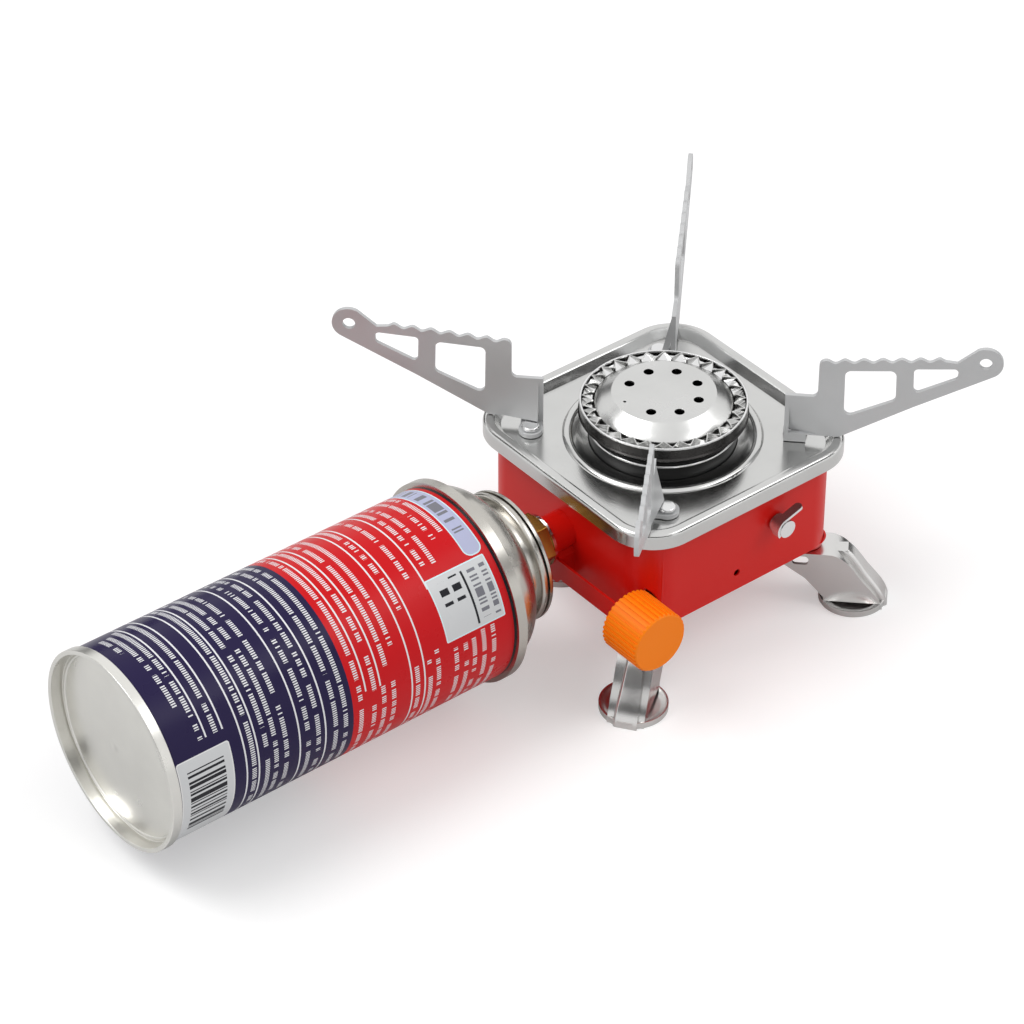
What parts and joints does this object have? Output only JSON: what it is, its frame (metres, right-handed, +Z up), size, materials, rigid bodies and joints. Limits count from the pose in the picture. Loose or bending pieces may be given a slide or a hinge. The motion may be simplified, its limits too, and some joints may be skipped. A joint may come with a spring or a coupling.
{
  "type": "cassette stove",
  "caption": "Table-top one-burner cassette stove with a side-mounted gas can, folding pot supports and legs, a ribbed knob and a lever igniter.",
  "frame": {"origin": "on the table plane, under the burner's axis", "axes": "+Z up along the burner's axis; the gas can lies along -X; the ignition lever is on the -Y side"},
  "size_m": [0.2967, 0.1544, 0.1045],
  "materials": {
    "stainless_plate": "satin pressed stainless",
    "red_paint": "gloss red enamel",
    "black_drum": "satin black enamel",
    "bright_steel": "bright plated steel",
    "burner_steel": "satin steel",
    "support_steel": "pressed stainless",
    "leg_steel": "pressed stainless",
    "brass": "turned brass",
    "black_rubber": "matt",
    "black_plastic": "matt",
    "ceramic": "unglazed",
    "orange_plastic": "moulded",
    "can_print": "gloss print over tinplate",
    "tinplate": "tinned steel"
  },
  "bodies": {
    "stove": {"top_plate": "stainless_plate", "casing": "red_paint", "base_plate": "red_paint", "burner_bowl": "black_drum", "burner_collar": "burner_steel", "burner_clamp_ring": "bright_steel", "burner_cup": "burner_steel", "flame_strip": "burner_steel", "burner_cap": "burner_steel", "support_rivets": "bright_steel", "leg_rivets": "bright_steel", "leg_washers": "bright_steel", "gas_valve": "red_paint", "valve_screws": "bright_steel", "inlet_nut": "brass", "inlet_washer": "bright_steel", "can_adapter": "bright_steel", "inlet_probe": "brass", "inlet_seal": "black_rubber", "spindle_guard": "red_paint", "gas_jet": "brass", "mixing_tube": "burner_steel", "piezo_igniter": "black_plastic", "piezo_bracket": "bright_steel", "electrode_insulator": "ceramic", "spark_electrode": "bright_steel"},
    "support_back": {"pot_support_back": "support_steel"},
    "support_left": {"pot_support_left": "support_steel"},
    "support_front": {"pot_support_front": "support_steel"},
    "support_right": {"pot_support_right": "support_steel"},
    "leg_back": {"leg_back": "leg_steel"},
    "leg_left": {"leg_left": "leg_steel"},
    "leg_front": {"leg_front": "leg_steel"},
    "leg_right": {"leg_right": "leg_steel"},
    "control": {"valve_spindle": "bright_steel", "control_knob": "orange_plastic"},
    "lever": {"ignition_lever": "bright_steel", "ignition_shaft": "bright_steel", "ignition_cam": "black_plastic"},
    "plunger": {"piezo_plunger": "bright_steel"},
    "can": {"can_body": "can_print", "can_bottom": "tinplate", "can_dome": "tinplate", "can_valve_cup": "tinplate", "can_stem": "brass", "can_stem_seal": "black_rubber"}
  },
  "joints": [
    {"name": "support_back_fold", "type": "hinge", "parent": "stove", "child": "support_back", "pos_m": [0.02705, 0.03376, 0.0633], "axis": [0, 0, 1], "range_deg": [0, 132]},
    {"name": "support_left_fold", "type": "hinge", "parent": "stove", "child": "support_left", "pos_m": [-0.03376, 0.02705, 0.0633], "axis": [0, 0, 1], "range_deg": [0, 132]},
    {"name": "support_front_fold", "type": "hinge", "parent": "stove", "child": "support_front", "pos_m": [-0.02705, -0.03376, 0.0633], "axis": [0, 0, 1], "range_deg": [0, 132]},
    {"name": "support_right_fold", "type": "hinge", "parent": "stove", "child": "support_right", "pos_m": [0.03376, -0.02705, 0.0633], "axis": [0, 0, 1], "range_deg": [0, 132]},
    {"name": "leg_back_fold", "type": "hinge", "parent": "stove", "child": "leg_back", "pos_m": [0.0346, 0.0346, 0.0214], "axis": [0, 0, 1], "range_deg": [-180, 0]},
    {"name": "leg_left_fold", "type": "hinge", "parent": "stove", "child": "leg_left", "pos_m": [-0.0346, 0.0346, 0.0214], "axis": [0, 0, 1], "range_deg": [-18, 162]},
    {"name": "leg_front_fold", "type": "hinge", "parent": "stove", "child": "leg_front", "pos_m": [-0.0346, -0.0346, 0.0214], "axis": [0, 0, 1], "range_deg": [-169, 10]},
    {"name": "leg_right_fold", "type": "hinge", "parent": "stove", "child": "leg_right", "pos_m": [0.0346, -0.0346, 0.0214], "axis": [0, 0, 1], "range_deg": [-180, 0]},
    {"name": "knob_turn", "type": "hinge", "parent": "stove", "child": "control", "pos_m": [-0.046, -0.045, 0.03195], "axis": [0, -1, 0], "range_deg": [0, 360]},
    {"name": "lever_press", "type": "hinge", "parent": "stove", "child": "lever", "pos_m": [0.013, -0.045, 0.0455], "axis": [0, 1, 0], "range_deg": [0, 37.5], "stiffness_Nm_per_rad": 0.02},
    {"name": "plunger_press", "type": "slide", "parent": "stove", "child": "plunger", "axis": [0, 0, -1], "range_m": [0, 0.00459]},
    {"name": "can_twist", "type": "hinge", "parent": "stove", "child": "can", "pos_m": [-0.0656, 0, 0.0437], "axis": [1, 0, 0], "range_deg": [0, 60]}
  ],
  "couplings": [
    {"joint": "lever_press", "follows": "plunger_press", "rad_per_m": 133.13}
  ]
}
